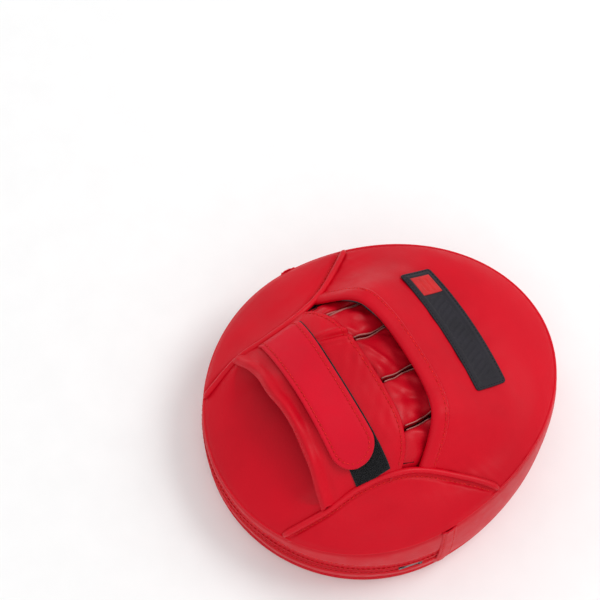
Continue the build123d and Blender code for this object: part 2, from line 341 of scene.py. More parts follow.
def mixed(tree, a, b, operation="ADD"):
    """A sum or product of one socket with another socket or a number."""
    node = add_node(tree, "ShaderNodeMath", operation=operation)
    tree.links.new(a, node.inputs[0])
    if isinstance(b, float):
        node.inputs[1].default_value = b
    else:
        tree.links.new(b, node.inputs[1])
    return node.outputs[0]


def bump_into(tree, shader, height, strength, distance):
    node = add_node(tree, "ShaderNodeBump", Strength=strength, Distance=distance)
    tree.links.new(height, node.inputs["Height"])
    tree.links.new(node.outputs["Normal"], shader.inputs["Normal"])


def colour_and_roughness(tree, shader, tone, stops, detail, limits):
    tree.links.new(ramp(tree, tone, stops), shader.inputs["Base Color"])
    tree.links.new(span(tree, detail, *limits), shader.inputs["Roughness"])


def shade(colour, factor):
    return tuple(min(c * factor, 1.0) for c in colour)


def leather(name, colour, rough=0.46, grain=900, grain_depth=0.00009, sheen=0.0, crease=0.35, gloss=0.15):
    """Matt synthetic leather: pebble grain, faint creases, slow colour drift and worn highs."""
    material, tree, shader, coords = new_material(name)
    cells = add_node(tree, "ShaderNodeTexVoronoi", Scale=grain, feature="SMOOTH_F1")
    tree.links.new(coords, cells.inputs["Vector"])
    fine = noise(tree, coords, grain * 1.9, 2)
    slow = noise(tree, coords, 14, 3)
    mottle = noise(tree, coords, 120, 4)
    stops = [(0.25, shade(colour, 0.86)), (0.5, colour), (0.78, shade(colour, 1.1))]
    tone = mixed(tree, slow, mixed(tree, mottle, 0.18, "MULTIPLY"))
    tone = mixed(tree, tone, 0.09, "SUBTRACT")
    colour_and_roughness(tree, shader, tone, stops, mottle, (0.3, 0.7, rough - 0.05, rough + 0.06))
    folds = mixed(tree, noise(tree, coords, 60, 5, 0.62), crease * 4, "MULTIPLY")
    pebble = mixed(tree, cells.outputs["Distance"], mixed(tree, fine, 0.4, "MULTIPLY"))
    bump_into(tree, shader, mixed(tree, pebble, folds), 0.55, grain_depth)
    set_inputs(shader, {"Specular IOR Level": gloss, "Sheen Weight": sheen, "Sheen Roughness": 0.5})
    return material


def woven(name, colour, pitch, rough=0.85, depth=0.0002, sheen=0.02):
    """Plain woven or knitted tape: two crossed thread waves under a little fuzz."""
    material, tree, shader, coords = new_material(name)
    waves = []
    for direction in ("X", "Y", "Z"):
        wave = add_node(tree, "ShaderNodeTexWave", Scale=pitch, Distortion=0.6,
                        bands_direction=direction)
        tree.links.new(coords, wave.inputs["Vector"])
        waves.append(wave.outputs["Fac"])
    weave = mixed(tree, mixed(tree, waves[0], waves[1], "MULTIPLY"), waves[2])
    fuzz = noise(tree, coords, 1500, 3)
    height = mixed(tree, weave, fuzz)
    # Colour follows the weave's height: painted shade in the hollows between threads and painted light on the
    # raised threads, with random fuzz mixed in.
    stops = [(0.3, shade(colour, 0.6)), (0.9, shade(colour, 1.7))]
    tone = mixed(tree, height, 0.45, "MULTIPLY")
    colour_and_roughness(tree, shader, tone, stops, fuzz, (0.2, 0.8, rough - 0.08, rough + 0.08))
    bump_into(tree, shader, height, 0.7, depth)
    set_inputs(shader, {"Sheen Weight": sheen, "Specular IOR Level": 0.15})
    return material


def rubber(name, colour, rough=0.55):
    material, tree, shader, coords = new_material(name)
    fine = noise(tree, coords, 1600, 3)
    slow = noise(tree, coords, 60, 3)
    stops = [(0.3, shade(colour, 0.75)), (0.7, shade(colour, 1.3))]
    colour_and_roughness(tree, shader, slow, stops, fine, (0.3, 0.7, rough - 0.07, rough + 0.08))
    bump_into(tree, shader, fine, 0.35, 0.0001)
    set_inputs(shader, {"Specular IOR Level": 0.3})
    return material


def metal(name, colour):
    material, tree, shader, coords = new_material(name)
    scratch = noise(tree, coords, 900, 4)
    wear = noise(tree, coords, 260, 3)
    stops = [(0.35, shade(colour, 0.7)), (0.75, shade(colour, 1.9))]
    colour_and_roughness(tree, shader, wear, stops, scratch, (0.3, 0.7, 0.24, 0.42))
    bump_into(tree, shader, scratch, 0.2, 0.00005)
    set_inputs(shader, {"Metallic": 0.9})
    return material


RED = (0.58, 0.0008, 0.012)
RED_STRAP = (0.64, 0.0015, 0.018)
RED_THREAD = (0.62, 0.012, 0.013)
RAW_EDGE = (0.50, 0.16, 0.15)
BLACK = (0.005, 0.005, 0.0065)
ZIP_RED = (0.30, 0.001, 0.008)
CHARCOAL = (0.0095, 0.008, 0.0135)

MATERIALS = {
    "red_leather": leather("red_leather", RED),
    "sleeve_leather": leather("sleeve_leather", shade(RED, 0.95), rough=0.42, grain=1000, crease=0.6,
                              gloss=0.22),
    "strap_leather": leather("strap_leather", RED_STRAP, rough=0.62, grain=1300, sheen=0.04, crease=0.2),
    "piping_leather": leather("piping_leather", shade(RED, 1.05), rough=0.40, crease=0.15, gloss=0.2),
    "raw_edge": leather("raw_edge", RAW_EDGE, rough=0.8, crease=0.1),
    "thread": woven("thread", RED_THREAD, 700, rough=0.6, depth=0.00008),
    "foam": rubber("foam", (0.09, 0.09, 0.10), 0.8),
    "lining": woven("lining", BLACK, 450),
    "loop_tape": woven("loop_tape", (0.013, 0.013, 0.015), 300, 0.95, sheen=0.1),
    "hook_tape": woven("hook_tape", BLACK, 350, 0.7),
    "zip_tape": woven("zip_tape", ZIP_RED, 500),
    "patch_rubber": rubber("patch_rubber", CHARCOAL),
    "emblem_rubber": rubber("emblem_rubber", (0.52, 0.012, 0.014)),
    "zip_coil": rubber("zip_coil", shade(ZIP_RED, 0.8), 0.35),
    "zip_metal": metal("zip_metal", (0.08, 0.075, 0.08)),
}


# ---- mesh makers


def make_object(name, vertices, faces, look):
    mesh = bpy.data.meshes.new(name)
    mesh.from_pydata((np.asarray(vertices) * MM).tolist(), [], [list(map(int, f)) for f in faces])
    mesh.validate()
    mesh.update()
    mesh.shade_smooth()
    mesh.materials.append(MATERIALS[look])
    return placed(name, mesh)


def finish_piece(piece, look, body="mitt", replaces=(), fill=None):
    if body:
        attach(piece, body)
    for node in replaces:
        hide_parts(node)
    return piece


def grid_faces(rows, columns, closed_columns=False, start=0):
    """Quads of a grid of points, whose last column may join its first."""
    across = np.arange(columns if closed_columns else columns - 1)
    i, j = np.meshgrid(np.arange(rows - 1) * columns, across, indexing="ij")
    after = (j + 1) % columns
    quads = np.stack([i + j, i + after, i + columns + after, i + columns + j], -1)
    return (quads.reshape(-1, 4) + start).tolist()


def closed_piece(name, vertices, faces, look, **finish):
    """An object with its faces pointing out, attached to its body if it has one, with the CAD parts it replaces
    hidden.
    """
    piece = make_object(name, vertices, faces, look)
    recalculate(piece)
    return finish_piece(piece, look, **finish)


def lofted(name, points, look, ring=False, **finish):
    """A skin over rows of points round a form, capped at both ends or joined in a ring."""
    rows, columns = points.shape[:2]
    faces = grid_faces(rows, columns, closed_columns=True)
    last = (rows - 1) * columns
    if ring:
        faces += [[last + j, last + (j + 1) % columns, (j + 1) % columns, j] for j in range(columns)]
    else:
        faces += [list(range(columns)), list(range(last, last + columns))[::-1]]
    return closed_piece(name, points.reshape(-1, 3), faces, look, **finish)


def solid_sheet(name, top, thick, look, outward=None, exact=None, **finish):
    """Closed leather panel: a grid of points with a thickness and rounded edges.

    Outward is a grid of directions for the skin's front, up where it isn't given. Exact is
    a grid of its normals, where the points lie too close together to work them out."""
    du, dv = np.gradient(top, axis=0), np.gradient(top, axis=1)
    normal = unit(np.cross(du, dv) if exact is None else exact)
    want = np.array([0, 0, 1.0]) if outward is None else outward
    if (normal * want).sum(-1).mean() < 0:
        normal = -normal
    rows, columns = top.shape[:2]
    middle = top - normal * thick * 0.5
    under = top - normal * thick
    count = rows * columns
    border = [i * columns for i in range(rows)]
    border += [(rows - 1) * columns + j for j in range(1, columns)]
    border += [i * columns + columns - 1 for i in range(rows - 2, -1, -1)]
    border += list(range(columns - 2, 0, -1))
    faces = grid_faces(rows, columns)
    lower = [face[::-1] for face in grid_faces(rows, columns, start=count)]
    centre = top.reshape(-1, 3).mean(0)
    out = middle.reshape(-1, 3)[border]
    way = tangents(np.vstack([out, out[:1]]))[:-1]
    side = np.cross(way, normal.reshape(-1, 3)[border])
    side *= np.sign((side * (out - centre)).sum(-1).mean())
    bulge = out + side * 0.3 * thick
    vertices = np.concatenate([top.reshape(-1, 3), under.reshape(-1, 3), bulge])
    first = 2 * count
    walls = []
    for k, a in enumerate(border):
        following = (k + 1) % len(border)
        b, c, d = border[following], first + k, first + following
        walls.append([a, c, d, b])
        walls.append([c, a + count, b + count, d])
    return closed_piece(name, vertices, [*faces, *lower, *walls], look, **finish)


def recalculate(piece):
    mesh = bmesh.new()
    mesh.from_mesh(piece.data)
    bmesh.ops.remove_doubles(mesh, verts=mesh.verts, dist=0.00001)
    bmesh.ops.recalc_face_normals(mesh, faces=mesh.faces)
    mesh.to_mesh(piece.data)
    mesh.free()


def frames_along(path, up):
    """Directions across a path and up from it."""
    way = tangents(path)
    side = unit(np.cross(way, up))
    return side, np.cross(side, way)


def swept(name, path, section, up, look, scale=None, **finish):
    """A section of (across, up) points carried along a path, with capped ends."""
    side, top = frames_along(path, up)
    scale = np.ones(len(path)) if scale is None else scale
    section = section[None] * scale[:, None, None]
    points = path[:, None] + side[:, None] * section[..., :1] + top[:, None] * section[..., 1:]
    return lofted(name, points, look, **finish)


def flat_section(half, low, high):
    return np.array([(-half, low), (half, low), (half, high), (-half, high)])


def circle_section(radius, count=12):
    a = np.linspace(0, 2 * np.pi, count, endpoint=False)
    return radius * np.stack([np.cos(a), np.sin(a)], -1)


def up_everywhere(path):
    return np.tile([0.0, 0, 1], (len(path), 1))


def surface_up(path, height):
    """Normals of a height surface under a path."""
    x, y, step = path[:, 0], path[:, 1], 0.5
    dx = (height(x + step, y) - height(x - step, y)) / (2 * step)
    dy = (height(x, y + step) - height(x, y - step)) / (2 * step)
    return unit(np.stack([-dx, -dy, np.ones_like(dx)], -1))


STITCH_RINGS = 5
STITCH_SIDES = 6


def stitch_row(name, path, up, pitch=3.2, length=2.5, thick=0.78, body="mitt", look="thread"):
    """Thread stitches laid end to end along a path, each a bead that dips in at both ends."""
    count = max(int(length_of(path) / pitch), 2)
    both = even(np.hstack([path, up]), 4 * count + 1)
    points, normals = both[:, :3], both[:, 3:]
    vertices, faces = [], []
    u = np.linspace(0, 1, STITCH_RINGS)
    for k in range(count):
        middle, before, after = points[4 * k + 2], points[4 * k + 1], points[4 * k + 3]
        way = (after - before) / np.linalg.norm(after - before)
        normal = normals[4 * k + 2] / np.linalg.norm(normals[4 * k + 2])
        side = np.cross(way, normal)
        for t in u:
            reach = (t - 0.5) * length
            swell = math.sqrt(max(1 - (2 * t - 1) ** 2, 0.0)) * 0.75 + 0.25
            centre = middle + way * reach + normal * (thick * 0.30 * swell - 0.12)
            for m in range(STITCH_SIDES):
                angle = 2 * math.pi * m / STITCH_SIDES
                spread = side * math.cos(angle) * 0.5 + normal * math.sin(angle) * 0.42
                vertices.append(centre + spread * thick * swell)
        base = len(vertices) - STITCH_RINGS * STITCH_SIDES
        faces += grid_faces(STITCH_RINGS, STITCH_SIDES, closed_columns=True, start=base)
        end = len(vertices)
        faces += [list(range(base, base + STITCH_SIDES))]
        faces += [list(range(end - STITCH_SIDES, end))[::-1]]
    return closed_piece(name, vertices, faces, look, body=body)


def coons(bottom, top, left, right, rows):
    """Plan grid between four boundary curves; row 0 is bottom and the last row is top."""
    columns = len(bottom)
    v = np.linspace(0, 1, rows)[:, None, None]
    u = np.linspace(0, 1, columns)[None, :, None]
    left, right = even(left, rows)[:, None], even(right, rows)[:, None]
    ruled = (1 - v) * bottom[None] + v * top[None] + (1 - u) * left + u * right
    corner = ((1 - u) * (1 - v) * bottom[0] + u * (1 - v) * bottom[-1]
              + (1 - u) * v * top[0] + u * v * top[-1])
    return ruled - corner


def edge_distances(grid):
    """Rough distances in mm from a grid's four edges: rows low and high, columns low and high."""
    along = np.concatenate([np.zeros((1, grid.shape[1])),
                            np.cumsum(np.linalg.norm(np.diff(grid, axis=0), axis=-1), axis=0)])
    across = np.concatenate([np.zeros((grid.shape[0], 1)),
                             np.cumsum(np.linalg.norm(np.diff(grid, axis=1), axis=-1), axis=1)], axis=1)
    return along, along[-1:] - along, across, across[:, -1:] - across


# ---- the pieces
# Here z is a view of a sheet's heights, so adding to z moves the sheet's points.


def row_at(top, distance, value):
    """The line across a grid's columns where the distance down each column reaches a value."""
    line = []
    for column in range(top.shape[1]):
        line.append([np.interp(value, distance[:, column], top[:, column, k]) for k in range(3)])
    return np.array(line)


def seam_puckers(points, distance, seed, depth=0.28, reach=7.0):
    """Small gathers that run off a stitched seam."""
    return depth * ripple(points * np.array([1, 1, 0.6]), seed, 7.5) * np.exp(-distance / reach)


def hood():
    rows, columns = 70, 200
    rim = rim_path(180 - WING_FINGER_ANGLE, WING_FINGER_ANGLE, columns)[:, :2]
    x = np.linspace(-70, 70, 400)
    slope = np.gradient(hood_edge(x), x)
    run = np.hypot(slope, 1)
    edge = np.stack([x - HEM_LAP * slope / run, hood_edge(x) + HEM_LAP / run], -1)
    edge = even(edge[np.abs(edge[:, 0]) < wing_x(edge[:, 1]) - 0.3], columns)
    inner = [p for p in WING_PLAN if p[1] > edge[-1][1]]
    right = np.vstack([rim[-1:], np.array(inner[::-1]), edge[-1:]])
    grid = coons(rim, edge, mirror_x(right), right, rows)
    top = lift(grid, back_height)
    z = top[..., 2]
    rim_d, edge_d, left_d, right_d = edge_distances(top)
    sides = np.minimum(left_d, right_d)
    z += 0.9 * (1 - bump_at(rim_d, 9)) - 0.9
    z -= 1.0 * bump_at(rim_d, 2.2) + 0.5 * bump_at(edge_d, 1.6) + 0.8 * bump_at(sides, 2.5)
    z += 0.55 * ripple(top, 3, 60) * blend(0, 14, np.minimum(rim_d, edge_d))
    z += seam_puckers(top, edge_d, 4) + seam_puckers(top, sides, 5, 0.35, 9)
    beyond = np.maximum(np.maximum(patch_low - top, top - patch_high)[..., :2], 0)
    z += 0.45 * ripple(top, 6, 20) * np.exp(-np.linalg.norm(beyond, axis=-1) / 12)
    z -= 1.6 * bump_at(np.abs(top[..., 0]) - 70, 14) * bump_at(top[..., 1] - 34, 20)
    solid_sheet("hood_panel", top, SKIN, "red_leather", replaces=["hood_panel"], fill=0.7)
    hood_hem()


def hood_hem():
    """The free edge of the hood: leather turned over padding and stitched down."""
    x = np.linspace(-67, 67, 400)
    edge = even(np.stack([x, hood_edge(x)], -1), 220)
    path = lift(edge, back_height, 0.1)
    across = np.array([10.8, 10.2, 9.2, HEM_SEAM, 7.2, 4.8, 2.6, 1.0, 0.1, -0.3,
                       -0.1, 0.9, 3.2, 6.5, 10, 14, 14, 9, 5, 8])
    rise = np.array([-1.2, -0.2, 0.35, 0.1, 0.75, 1.0, 0.85, 0.35, -0.6, -1.6,
                     -2.6, -3.4, -3.9, -4.3, -4.8, -5.0, -4.2, -3.6, -3.0, -2.2])
    up = surface_up(path, back_height)
    side, top = frames_along(path, up)
    side *= np.sign(side[len(side) // 2, 1])
    wander = 0.35 * ripple(path, 8, 30)
    points = path[:, None] + side[:, None] * across[None, :, None] + top[:, None] * rise[None, :, None]
    points[..., 2] += wander[:, None] * blend(9, 2, across)[None]
    gathers = 0.16 * ripple(points, 9, 6)[..., None]
    points += top[:, None] * gathers * bump_at(across - 8.5, 2.5)[None, :, None]
    points = between_wings(points, 0.4)
    lofted("hood_hem", points, "red_leather", replaces=["hood_hem"], fill=0.8)
    row = path + side * HEM_SEAM + top * 0.22
    clear = np.abs(row[:, 0]) < wing_x(row[:, 1]) - 2.5
    stitch_row("hood_hem_stitches", row[clear], top[clear])


def side_panel(side):
    """The leaf-shaped panel beside the hand, its piping and its stitch rows."""
    sign = {"left": -1, "right": 1}[side]
    rows, columns = 46, 150
    inner = even(WING_PLAN, columns)
    rim = rim_path(WING_HEEL_ANGLE, WING_FINGER_ANGLE, columns)[:, :2]
    v = np.linspace(0, 1, rows)[:, None, None]
    grid = inner[None] * (1 - v) + rim[None] * v
    top = lift(grid, back_height)
    z = top[..., 2]
    inner_d, rim_d, _, _ = edge_distances(top)
    width = inner_d + rim_d
    crown = np.sin(np.pi * np.clip(inner_d / np.maximum(width, 1), 0, 1))
    z += 1.6 * np.clip(width / 40, 0, 1) * crown
    z -= 1.3 * bump_at(inner_d - PANEL_SEAM, 1.8) + 1.1 * bump_at(rim_d, 2.4)
    z += 0.5 * ripple(top, 11 + sign, 46) * blend(0, 12, np.minimum(inner_d, rim_d))
    z += seam_puckers(top, inner_d, 13 + sign, 0.3, 8)
    row = row_at(top, inner_d, PANEL_SEAM)[width[-1] > 9.0]
    top[..., 0] *= sign
    name = f"side_panel_{side}"
    solid_sheet(name, top, SKIN, "red_leather", replaces=[name], fill=0.75)
    path = lift(inner, back_height, 0.7)
    up = surface_up(path, back_height)
    row_up = surface_up(row, back_height)
    for line in (path, up, row, row_up):
        line[:, 0] *= sign
    run = np.linspace(0, length_of(path), len(path))
    ends = np.minimum(run, run[-1] - run)
    path[:, 2] -= 1.8 * blend(6, 0, ends)
    kept = ends > 1.2
    path, up, ends = path[kept], up[kept], ends[kept]
    wander = (1 + 0.05 * ripple(path, 17, 12)) * (0.6 + 0.4 * blend(0, 5, ends))
    swept(f"side_piping_{side}", path, circle_section(1.95, 14), up, "piping_leather", scale=wander,
          replaces=[f"side_piping_{side}"])
    stitch_row(f"side_panel_stitches_{side}", row + row_up * 0.1, row_up, pitch=3.0, length=2.4)


def heel_panel():
    rows, columns = 60, 130
    rim = rim_path(-180 - WING_HEEL_ANGLE, WING_HEEL_ANGLE, columns)[:, :2]
    edge_y = -58.0
    inner = np.array([p for p in WING_PLAN if p[1] < edge_y])
    edge = even([(-inner[-1][0], edge_y), (inner[-1][0], edge_y)], columns)
    inner = np.vstack([rim[-1:], inner, edge[-1:]])
    grid = coons(rim, edge, mirror_x(inner), inner, rows)
    top = lift(grid, foam_height)
    z = top[..., 2]
    rim_d, edge_d, left_d, right_d = edge_distances(top)
    sides = np.minimum(left_d, right_d)
    reach = back_height(grid[..., 0], grid[..., 1]) - foam_height(grid[..., 0], grid[..., 1])
    z += np.minimum(reach, 9) * blend(22, 57, np.abs(grid[..., 0])) * blend(24, 2, sides)
    z += 1.2 * blend(0, 26, rim_d) - 1.0
    z -= 1.0 * bump_at(rim_d, 2.4) + 0.7 * bump_at(sides, 2.4)
    z += 0.5 * ripple(top, 21, 55) * blend(0, 12, rim_d)
    z -= 4.0 * blend(10, 0, edge_d)
    solid_sheet("heel_panel", top, SKIN, "red_leather", replaces=["heel_panel"], fill=0.75)


SEAM_PULL = 1.3


def wall_grid(angles, z_low, z_high, rows, inset_low=SEAM_PULL, inset_high=SEAM_PULL, set_back=0.0):
    """Side wall between two heights, pulled in along both seams. z_high may be one value an angle."""
    angles = np.asarray(angles, float)
    z_high = np.broadcast_to(z_high, angles.shape)
    v = blend(0, 1, np.linspace(0, 1, rows)) * 0.5 + np.linspace(0, 1, rows) * 0.5
    z = z_low + (z_high[None] - z_low) * v[:, None]
    low_d, high_d = z - z_low, z_high[None] - z
    grow = growth(z) - set_back - inset_low * bump_at(low_d, 2.6) - inset_high * bump_at(high_d, 2.6)
    x, y = outline(np.broadcast_to(angles, z.shape), grow)
    return np.stack([x, y, z], -1), outwards(x, y), low_d, high_d


SEAM_ANGLE = 1.0
ALL_ROUND = np.linspace(-90, 270, 361)[:-1]
FACE_EDGE = 3.6  # radius of the striking face's edge


def walls():
    angles = np.linspace(-SEAM_ANGLE, 180 + SEAM_ANGLE, 300)
    top, out, low_d, high_d = wall_grid(angles, FACE_SEAM_Z, rim_heights(angles) - 0.6, 44)
    top += out * (0.7 * ripple(top, 31, 70) * blend(0, 14, np.minimum(low_d, high_d)))[..., None]
    top += out * seam_puckers(top, high_d, 32, 0.22, 6)[..., None]
    solid_sheet("front_gusset", top, 1.8, "red_leather", outward=out, replaces=["front_gusset"],
                fill=0.7)
    angles = np.linspace(180 + SEAM_ANGLE, 360 - SEAM_ANGLE, 300)
    heel_band("heel_gusset_upper", angles, PLACKET_EDGE, rim_heights(angles) - 0.6, 41)
    heel_band("zip_placket", angles, ZIP_Z + LIP_HALF, PLACKET_EDGE + 3.2, 43, set_back=1.1, thick=1.15,
              flare=1.4)
    heel_band("heel_gusset_lower", angles, FACE_SEAM_Z, ZIP_Z - LIP_HALF, 45, fold_high=True, thick=1.15,
              flare=-0.9)
    wall_stitches("placket_stitches", angles[2:-2], PLACKET_EDGE + 2.3, -0.45)
    wall_stitches("zip_stitches_upper", angles[2:-2], ZIP_Z + LIP_HALF + 2.3, -0.25)
    wall_stitches("zip_stitches_lower", angles[2:-2], ZIP_Z - LIP_HALF - 2.3, -0.9)


def heel_band(name, angles, z_low, z_high, seed, set_back=0.0, fold_high=False, thick=1.2, flare=0.0):
    """One strip of the heel's wall, with a sewn fold at its low or high edge that may flare."""
    insets = (SEAM_PULL, 0.0) if fold_high else (0.0, SEAM_PULL)
    top, out, low_d, high_d = wall_grid(angles, z_low, z_high, 26, *insets, set_back)
    edge_d = high_d if fold_high else low_d
    top += out * (flare * blend(4.6, 1.4, edge_d) - 0.55 * bump_at(edge_d - 2.3, 0.9))[..., None]
    top += out * (0.35 * ripple(top, seed, 40) * blend(0, 8, np.minimum(low_d, high_d)))[..., None]
    top -= out * (1.0 * bump_at(edge_d, 0.8))[..., None]
    solid_sheet(name, top, thick, "red_leather", outward=out, replaces=[name])


def wall_stitches(name, angles, z, above):
    x, y = outline(angles, growth(np.array(z)) + above)
    path = np.stack([x, y, np.full(len(angles), z)], -1)
    stitch_row(name, path, outwards(x, y))


def welt(name, z, out_by, radius):
    """A round welt along a seam, all the way round the mitt."""
    x, y = outline(ALL_ROUND, growth(z) + out_by)
    path = np.stack([x, y, z], -1)
    ends = np.vstack([path[-1:], path, path[:1]])
    way = unit(ends[2:] - ends[:-2])
    side = np.cross(way, up_everywhere(path))
    top = np.cross(side, way)
    section = circle_section(radius)[None]
    points = path[:, None] + side[:, None] * section[..., :1] + top[:, None] * section[..., 1:]
    lofted(name, points, "piping_leather", ring=True, replaces=[name])


def welts():
    welt("rim_welt", rim_heights(ALL_ROUND) - 1.1, -1.0, 0.8)
    welt("face_welt", np.full(len(ALL_ROUND), FACE_SEAM_Z - 0.3), -0.7, 1.0)


def striking_face():
    """The face's leather, which rolls up over the foam's edge to the seam."""
    turn = np.linspace(0, np.pi / 2, 9)
    rings = [(FACE_SEAM_Z - 0.5, 1.2), (FACE_SEAM_Z - 1.4, 0.2)]
    rings += [(FACE_EDGE - FACE_EDGE * math.sin(t), FACE_EDGE * (1 - math.cos(t))) for t in turn]
    points = []
    for z, inset in rings:
        x, y = outline(ALL_ROUND, FACE_GROWTH - inset)
        points.append(np.stack([x, y, np.full(len(x), z)], -1))
    for share in (0.9, 0.75, 0.5, 0.25):
        x, y = outline(ALL_ROUND, FACE_GROWTH - FACE_EDGE)
        points.append(np.stack([x * share, HEEL_Y + (y - HEEL_Y) * share, 0 * x], -1))
    points = np.array(points)
    rows, columns = points.shape[:2]
    faces = grid_faces(rows, columns, closed_columns=True)
    faces += [list(range((rows - 1) * columns, rows * columns))]
    outer = points.reshape(-1, 3)
    low = np.minimum(points[..., 2:] + 1.8, FACE_SEAM_Z)
    shrink = (points[..., :2] - np.array([0, HEEL_Y])) * 0.985 + np.array([0, HEEL_Y])
    inner = np.concatenate([shrink, low], -1).reshape(-1, 3)
    count = len(outer)
    faces += [[i + count for i in face[::-1]] for face in list(faces)]
    faces += [[j, (j + 1) % columns, count + (j + 1) % columns, count + j] for j in range(columns)]
    closed_piece("striking_face", np.vstack([outer, inner]), faces, "red_leather",
                 replaces=["striking_face"])


BINDING_HALF, BINDING_SEAM = 4.8, 2.9


def bindings():
    """Folded strips over the two upright seams, with a stitch row down each side."""
    for side, centre in (("right", 0.0), ("left", 180.0)):
        top_z = rim_heights([centre])[0] - 0.9
        z = np.linspace(FACE_SEAM_Z + 1.2, top_z, 60)
        width = np.linspace(-BINDING_HALF, BINDING_HALF, 17)
        sign = 1 if side == "right" else -1
        grow = growth(z)[:, None] + 1.4 * (1 - np.abs(width / BINDING_HALF) ** 6)[None] - 0.1
        grow = grow - 0.55 * bump_at(np.abs(width) - BINDING_SEAM, 0.7)[None]
        degrees = centre + sign * width / (HALF_WIDTH + 3) * 180 / np.pi
        x, y = outline(np.broadcast_to(degrees, grow.shape), grow)
        top = np.stack([x, y, np.broadcast_to(z[:, None], x.shape)], -1)
        out = outwards(x, y)
        top = top + out * (0.12 * ripple(top, 51, 9))[..., None]
        name = f"gusset_binding_{side}"
        solid_sheet(name, top, 0.9, "red_leather", outward=out, replaces=[name])
        for label, shift in (("a", -BINDING_SEAM), ("b", BINDING_SEAM)):
            column = int(np.argmin(np.abs(width - shift)))
            stitch_row(f"{name}_stitches_{label}", top[2:-2, column], out[2:-2, column],
                       pitch=2.8, length=2.1)


def cuff():
    rows, columns = 64, 150
    s = np.linspace(-1, 1, columns)
    v = np.linspace(0, 1, rows)[:, None]
    y_low, y_high = wrist_edge(s * 57) - 1.6, knuckle_edge(s * 60)
    y = y_low + (y_high - y_low) * v
    x = s * (wing_x(y) - 0.6)
    near_left = blend(10, -45, x)
    y = y + (1 - v) ** 3 * (0.5 * np.sin(x / 14.0 + 0.6) + 1.5 * near_left * np.sin(x / 7.5))
    top = lift(np.stack([x, y], -1), hand_height)
    z = top[..., 2]
    wrist_d, knuckle_d, left_d, right_d = edge_distances(top)
    sides = np.minimum(left_d, right_d)
    loose = blend(26, 0, wrist_d)
    folds = 1.3 * ripple(top * np.array([1, 0.5, 1]), 61, 26)
    z += folds * blend(0, 10, sides) * (0.35 + 0.65 * loose)
    wrist_roll = 1.2 * bump_at(wrist_d - 3.0, 3.6) - 3.4 * blend(2.4, 0, wrist_d)
    z += wrist_roll - 0.9 * bump_at(wrist_d - 8.5, 2.6)
    z -= 0.45 * bump_at(knuckle_d - KNUCKLE_SEAM, 0.8) + 0.6 * bump_at(knuckle_d, 0.8)
    z += seam_puckers(top, np.abs(knuckle_d - KNUCKLE_SEAM), 63, 0.45, 8)
    pleat = np.abs(x + 30 - 0.25 * (y + 20))
    ahead = blend(-40, -22, y)
    z += ahead * (1.6 * bump_at(pleat - 3.2, 2.0) - 1.8 * bump_at(pleat, 1.3))
    solid_sheet("cuff_panel", top, 2.4, "red_leather", fill=0.35,
                replaces=["cuff_panel", "knuckle_hem", "wrist_hem"])
    up = surface_up(top[-1], hand_height)
    seam = row_at(top[::-1], knuckle_d[::-1], KNUCKLE_SEAM)
    stitch_row("knuckle_stitches", seam[3:-3] + up[3:-3] * 0.1, up[3:-3])


def sleeve(number, left, right):
    """One finger sleeve: a creased, puffed tunnel that dives at its slits and under the hood."""
    rows, columns = 56, 34
    s = np.linspace(0, 1, columns)
    v = np.linspace(0, 1, rows)[:, None]
    gap = 0.65
    x = left + gap + (right - left - 2 * gap) * s
    start = knuckle_edge(x) - 6.5
    y = start + (36 - start) * v
    y = y + 3.5 * np.sin(np.pi * s) * v * (1 - v)
    x = np.broadcast_to(x, y.shape) + 1.6 * np.sin(y / 9 + number) * blend(-10, 10, y)
    grid = np.stack([x, y], -1)
    top = lift(grid, sleeve_height)
    z = top[..., 2]
    puff = np.sin(np.pi * s) ** 0.7
    ahead = blend(-22, -6, y + 8 * (x / 60) ** 2)
    z += ahead * (2.6 * puff - 0.8)
    z -= 3.2 * (1 - ahead)
    dive = np.minimum(s, 1 - s) * (right - left)
    z -= ahead * 4.5 * np.exp(-dive / 0.9)
    rng = np.random.default_rng(70 + number)
    for _ in range(7):
        cx, cy = rng.uniform(left, right), rng.uniform(-12, 16)
        turn = rng.uniform(0.2, 1.3)
        along = (x - cx) * math.cos(turn) + (y - cy) * math.sin(turn)
        across = -(x - cx) * math.sin(turn) + (y - cy) * math.cos(turn)
        height = rng.uniform(0.8, 1.9) * rng.choice([-1, 1])
        crease = ahead * height * bump_at(across, rng.uniform(1.8, 3.2))
        z += crease * bump_at(along, rng.uniform(7, 13))
    z += ahead * 0.5 * ripple(top, 80 + number, 12)
    name = f"finger_sleeve_{number}"
    solid_sheet(name, top, 1.0, "sleeve_leather", replaces=[name], fill=0.3)
    return top


def sleeves():
    edges = (-SLEEVES_HALF, *SLITS, SLEEVES_HALF)
    tops = [sleeve(number, a, b) for number, (a, b) in enumerate(zip(edges, edges[1:]), start=1)]
    for number, (one, other) in enumerate(zip(tops, tops[1:]), start=1):
        for label, grid, column, shift in (("a", one, -2, 0.1), ("b", other, 1, -0.1)):
            path = grid[9:50, column].copy()
            path[:, 0] += shift
            path[:, 2] += 0.75
            up = surface_up(path, sleeve_height)
            swept(f"slit_{number}_edge_{label}", path, flat_section(0.28, -1.0, 0.45), up, "raw_edge")
        middle = 0.5 * (one[12:, -1] + other[12:, 0])
        middle[:, 2] -= 2.2
        up = surface_up(middle, sleeve_height)
        swept(f"slit_{number}_lining", middle, flat_section(1.5, -0.4, 0.4), up, "lining")


def tongue(start, inset, columns, rows, above):
    """Plan grid of the strap from start to its round tip, raised over the cuff."""
    half = STRAP_HALF - inset
    tip = STRAP_TIP - inset
    bend = tip - half
    straight = start + (bend - start) * np.linspace(0, 1, columns)
    turn = np.linspace(0, np.pi / 2 * 0.93, 26)[1:]
    x = np.concatenate([straight, bend + half * np.sin(turn)])
    wide = np.concatenate([np.full(columns, half), half * np.cos(turn)])
    w = np.linspace(-1, 1, rows)
    y = STRAP_Y + wide[:, None] * w[None]
    return lift(np.stack([np.broadcast_to(x[:, None], y.shape), y], -1), hand_height, above)


